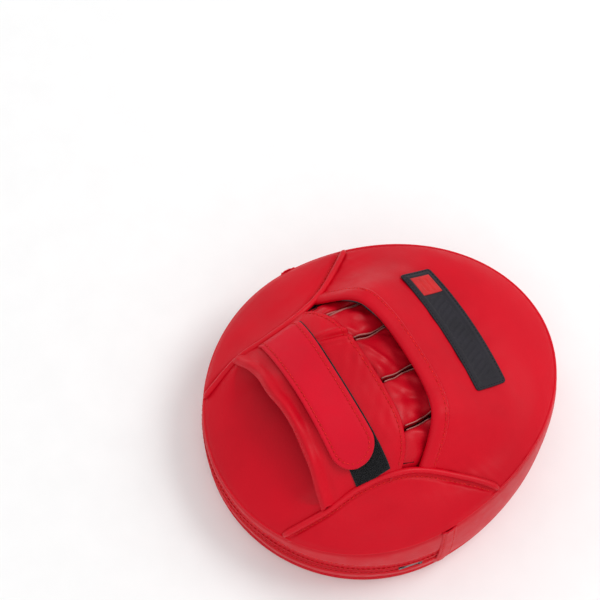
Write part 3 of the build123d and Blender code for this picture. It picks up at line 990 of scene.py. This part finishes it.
def strap_shape(top):
    """Gives the strap slow waves and sinks its sewn end under the piping."""
    top[..., 2] += 0.35 * ripple(top, 91, 34)
    top[..., 2] -= 8.5 * blend(-50, STRAP_SEWN_END, top[..., 0])
    return top


def strap():
    top = strap_shape(tongue(STRAP_SEWN_END, 0.0, 110, 25, STRAP_ABOVE))
    w = np.linspace(-1, 1, 25)
    top[..., 2] += 0.35 * (1 - w**2)[None]
    rim_gap = STRAP_HALF * (1 - np.abs(w))
    top[..., 2] -= 0.35 * bump_at(rim_gap - STRAP_SEAM, 0.9)[None]
    normals = surface_up(top.reshape(-1, 3), hand_height).reshape(top.shape)
    piece = solid_sheet("strap", top, SKIN, "strap_leather", exact=normals, body=None,
                        replaces=["strap", "strap_tail"])
    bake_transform(piece)
    line = strap_shape(tongue(-57.0, STRAP_SEAM, 110, 3, STRAP_ABOVE))
    up = surface_up(line[:, 0], hand_height)
    loop = np.vstack([line[:, 0], line[::-1, 2]])
    ups = np.vstack([up, surface_up(line[::-1, 2], hand_height)])
    stitches = stitch_row("strap_stitches", loop + ups * 0.12, ups, pitch=2.9, length=2.2, body=None)
    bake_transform(stitches)
    hook = tongue(strap_hinge[0] + 0.6, 0.9, 90, 15, 2.95)
    normals = surface_up(hook.reshape(-1, 3), hand_height).reshape(hook.shape)
    solid_sheet("strap_hook_tape", hook, 0.9, "hook_tape", exact=normals, body="closing_strap",
                replaces=["strap_hook_tape"])
    hooks(hook)


def hooks(grid):
    """The hook side of the tape: rows of small bent hooks under the strap."""
    rng = np.random.default_rng(7)
    vertices, faces = [], []
    under = grid[4:-8:2, 1:-1] - np.array([0, 0, 0.9])
    for point in under.reshape(-1, 3):
        lean = rng.uniform(-0.2, 0.2)
        base = len(vertices)
        for across, down in ((0, 0), (0.1, -0.25), (0.32, -0.36), (0.5, -0.22)):
            for dx, dy in ((-0.09, -0.09), (0.09, -0.09), (0.09, 0.09), (-0.09, 0.09)):
                vertices.append(point + np.array([across + dx, lean * across + dy, down]))
        faces += grid_faces(4, 4, closed_columns=True, start=base)
        faces += [[base + k for k in range(4)], [base + 15 - k for k in range(4)]]
    closed_piece("strap_hooks", vertices, faces, "hook_tape", body="closing_strap")


def loop_tape():
    """Black loop tape over the cuff with a pile of fine loops."""
    rng = np.random.default_rng(5)
    x = np.linspace(loop_low[0], loop_high[0] - 0.5, 120)
    y = np.linspace(loop_low[1], loop_high[1], 25)
    top = lift(np.stack(np.meshgrid(x, y, indexing="ij"), -1), hand_height, 1.25)
    top[..., 2] += 0.12 * ripple(top, 101, 5)
    solid_sheet("loop_strap", top, 0.8, "loop_tape", replaces=["loop_strap"])
    vertices, faces = [], []
    for _ in range(2600):
        px = rng.uniform(36, loop_high[0] - 1)
        py = rng.uniform(loop_low[1] + 0.6, loop_high[1] - 0.6)
        if math.hypot(px - (STRAP_TIP - STRAP_HALF), py - STRAP_Y) < STRAP_HALF - 1.5:
            continue
        pz = float(hand_height(np.array(px), np.array(py))) + 1.15
        turn, size = rng.uniform(0, math.pi), rng.uniform(0.35, 0.6)
        base = len(vertices)
        for t in np.linspace(0, math.pi, 6):
            out, up = size * math.cos(t), size * 1.1 * math.sin(t)
            centre = np.array([px + out * math.cos(turn), py + out * math.sin(turn), pz + up])
            for dx, dz in ((0.06, 0), (0, 0.06), (-0.06, -0.04)):
                vertices.append(centre + np.array([dx * math.sin(turn), -dx * math.cos(turn), dz]))
        faces += grid_faces(6, 3, closed_columns=True, start=base)
        faces += [[base, base + 1, base + 2], [base + 17, base + 16, base + 15]]
    closed_piece("loop_strap_pile", vertices, faces, "loop_tape")


def patch():
    """Moulded patch with a raised border, plain ribs and a plain two-bar tile."""
    centre = 0.5 * (patch_low + patch_high)
    half = 0.5 * (patch_high - patch_low)[:2]
    columns, rows = 150, 44
    u, v = np.meshgrid(np.linspace(-1, 1, columns), np.linspace(-1, 1, rows), indexing="ij")
    corner = 2.2
    x, y = u * half[0], v * half[1]
    over_x = np.maximum(np.abs(x) - (half[0] - corner), 0)
    over_y = np.maximum(np.abs(y) - (half[1] - corner), 0)
    pull = np.maximum(np.hypot(over_x, over_y), 1e-9)
    shrink = np.where(pull > corner, corner / pull, 1.0)
    x = np.sign(x) * (np.minimum(np.abs(x), half[0] - corner) + over_x * shrink)
    y = np.sign(y) * (np.minimum(np.abs(y), half[1] - corner) + over_y * shrink)
    inside = np.minimum(half[0] - np.abs(x), half[1] - np.abs(y))
    top = lift(bowed(np.stack([x, y], -1), centre, half), back_height, 1.2)
    top[..., 2] += 0.55 * (blend(2.2, 2.9, inside) - blend(4.0, 4.7, inside))
    tile = 0.5 * (emblem_low + emblem_high)
    bar = np.abs(((x + 0.5 * y) / 4.6) % 1 - 0.5)
    keep = blend(tile[0] + 10, tile[0] + 11, x + centre[0]) * blend(half[0] - 7, half[0] - 8, x)
    top[..., 2] += 0.5 * keep * blend(5.4, 4.8, np.abs(y)) * blend(0.33, 0.22, bar)
    solid_sheet("hood_patch", top, 1.1, "patch_rubber", replaces=["hood_patch"])
    a, b = half - 1.1
    corners = [(-a, -b), (a, -b), (a, b), (-a, b), (-a, -b)]
    sides = [even([p, q], 30)[:-1] for p, q in zip(corners, corners[1:])]
    plan = even(np.vstack([*sides, corners[-1]]), 300)
    path = lift(bowed(plan, centre, half), back_height, 1.2)
    stitch_row("patch_stitches", path, surface_up(path, back_height), pitch=2.4, length=1.7,
               thick=0.45, look="lining")
    tile_piece(tile - centre, centre, half_patch=half)


def bowed(plan, centre, half):
    """Patch plan points about its centre, bent as the flat patch bends over the domed hood."""
    lean = 3.0 * (1 - (plan[..., 0] / half[0]) ** 2) - 1.5
    return plan + centre[:2] + np.stack([0 * lean, lean], -1)


def tile_piece(tile, centre, half_patch):
    half = 7.4
    n = 34
    u, v = np.meshgrid(np.linspace(-half, half, n), np.linspace(-half, half, n), indexing="ij")
    plan = np.stack([u + tile[0], v + tile[1]], -1)
    top = lift(bowed(plan, centre, half_patch), back_height, 1.95)
    edge = half - np.maximum(np.abs(u), np.abs(v))
    top[..., 2] -= 0.35 * (1 - blend(0, 0.8, edge))
    top[..., 2] -= 0.5 * blend(1.1, 0.6, np.abs(np.abs(v) - 2.3)) * blend(5.6, 5.0, np.abs(u))
    solid_sheet("patch_emblem", top, 0.9, "emblem_rubber", replaces=["patch_emblem"])


def zip_tape(name, radius, z_low, z_high):
    """One flat tape of the zip, round the heel."""
    angles = np.radians(np.linspace(181.5, 358.5, 260))
    x = radius * np.cos(angles)
    y = HEEL_Y + radius * np.sin(angles)
    z = np.linspace(z_low, z_high, 9)[:, None]
    top = np.stack(np.broadcast_arrays(x, y, z), -1)
    out = np.broadcast_to(outwards(x, y), top.shape)
    solid_sheet(name, top, 0.7, "zip_tape", outward=out, replaces=[name])


def zip_fastener():
    """Tapes with two rows of meshed coil round the heel."""
    tape_radius = tape_high[0] / math.cos(ZIP_SHORT) + 0.02
    zip_tape("zip_tape_upper", tape_radius, tape_low[2], tape_high[2])
    zip_tape("zip_tape_lower", tape_radius, 2 * ZIP_Z - tape_high[2], 2 * ZIP_Z - tape_low[2])
    radius = coil_high[0] / math.cos(ZIP_SHORT) - 0.85
    pitch = 1.25
    for name, sign in (("upper", 1), ("lower", -1)):
        turns = int(math.radians(172) * radius / pitch)
        t = np.linspace(0, turns, turns * 12 + 1)
        angle = np.radians(184) + (t + (0.5 if sign < 0 else 0)) / turns * math.radians(171)
        out = radius + 0.62 * np.cos(2 * np.pi * t)
        z = ZIP_Z + sign * (0.68 + 0.78 * np.sin(2 * np.pi * t))
        path = np.stack([out * np.cos(angle), HEEL_Y + out * np.sin(angle), z], -1)
        # Up leans, because each turn of the coil runs nearly straight up at two places.
        up = up_everywhere(path) + np.array([0.31, 0.17, 0])
        swept(f"zip_coil_{name}", path, circle_section(0.27, 6), up, "zip_coil",
              replaces=[f"zip_coil_{name}"])


LINER_PLAN = [(52.2, -66), (53.2, -48), (56.2, -30), (60.6, -12), (61.4, 8), (55.6, 36), (40, 57)]


def hand_liner():
    """Black lining up the sides of the hollow, from the palm to the side panels."""
    for side, sign in (("left", -1), ("right", 1)):
        plan = spline(LINER_PLAN, 90)
        x, y = plan[:, 0] - 0.9, plan[:, 1]
        low = foam_height(x, y) - 7.6
        high = np.minimum(back_height(x, y) - 2.6, hand_height(x, y) - 3.8)
        high = np.where(y < -16, high, np.minimum(high, sleeve_height(x, y) - 6.5))
        v = np.linspace(0, 1, 14)[:, None]
        grids = np.broadcast_arrays(x + 0.5 * np.sin(np.pi * v), y, low + (high - low) * v)
        top = np.stack(grids, -1)
        top[..., 0] *= sign
        out = np.broadcast_to(np.array([-sign, 0, 0.0]), top.shape)
        solid_sheet(f"hand_liner_{side}", top, 0.6, "lining", outward=out)


def carried_over():
    """Finishes for the CAD nodes that stay visible."""
    slots = {part["node"]: part["material_slot"] for part in frame["record"]["subparts"]}
    for name, node in frame["nodes"].items():
        node.data.materials.clear()
        node.data.materials.append(MATERIALS[slots[name]])


# ---- stage, light and camera

LOOK_AT = Vector((-0.0795, -0.0172, 0.060))
CAMERA_DISTANCE = 0.9196
CAMERA_AZIMUTH, CAMERA_ELEVATION, CAMERA_ROLL = 57.1, 63.1, 4.0
LENS, SENSOR_WIDTH = 84.0, 36.0


def around(azimuth, elevation, distance):
    a, e = math.radians(azimuth), math.radians(elevation)
    return Vector((math.sin(a) * math.cos(e), -math.cos(a) * math.cos(e), math.sin(e))) * distance


def aim(thing, at, roll=0.0):
    way = (at - thing.location).to_track_quat("-Z", "Y")
    thing.rotation_euler = (way.to_matrix() @ Matrix.Rotation(math.radians(roll), 3, "Z")).to_euler()


def camera():
    data = bpy.data.cameras.new("camera")
    data.lens = LENS
    data.sensor_width = SENSOR_WIDTH
    view = placed("camera", data)
    view.location = LOOK_AT + around(CAMERA_AZIMUTH, CAMERA_ELEVATION, CAMERA_DISTANCE)
    aim(view, LOOK_AT, CAMERA_ROLL)
    bpy.context.scene.camera = view


def area_light(name, azimuth, elevation, distance, size, power):
    data = bpy.data.lights.new(name, "AREA")
    data.shape = "DISK"
    data.size = size
    data.energy = power
    light = placed(name, data)
    centre = Vector((0, 0, 0.05))
    light.location = centre + around(azimuth, elevation, distance)
    aim(light, centre)


def studio():
    size = 3.0
    mesh = bpy.data.meshes.new("floor")
    corners = [(-size, -size, 0), (size, -size, 0), (size, size, 0), (-size, size, 0)]
    mesh.from_pydata(corners, [], [(0, 1, 2, 3)])
    floor = placed("floor", mesh)
    material, tree, shader, coords = new_material("floor_paper")
    paper = noise(tree, coords, 40, 3)
    stops = [(0.3, (0.93, 0.93, 0.93)), (0.7, (0.95, 0.95, 0.95))]
    tree.links.new(ramp(tree, paper, stops), shader.inputs["Base Color"])
    set_inputs(shader, {"Roughness": 0.95})
    mesh.materials.append(material)
    world = bpy.data.worlds.new("studio")
    world.use_nodes = True
    set_inputs(world.node_tree.nodes["Background"], {"Color": (1, 1, 1, 1), "Strength": 0.72})
    bpy.context.scene.world = world
    area_light("key", 165, 58, 1.6, 0.8, 9.5)
    area_light("fill", 60, 40, 1.8, 1.4, 3.5)
    area_light("side", -80, 30, 1.8, 1.0, 3)
    bpy.context.scene.view_settings.view_transform = "Standard"


camera()
studio()
carried_over()
striking_face()
walls()
welts()
bindings()
zip_fastener()
heel_panel()
side_panel("left")
side_panel("right")
hood()
patch()
hand_liner()
sleeves()
cuff()
loop_tape()
strap()
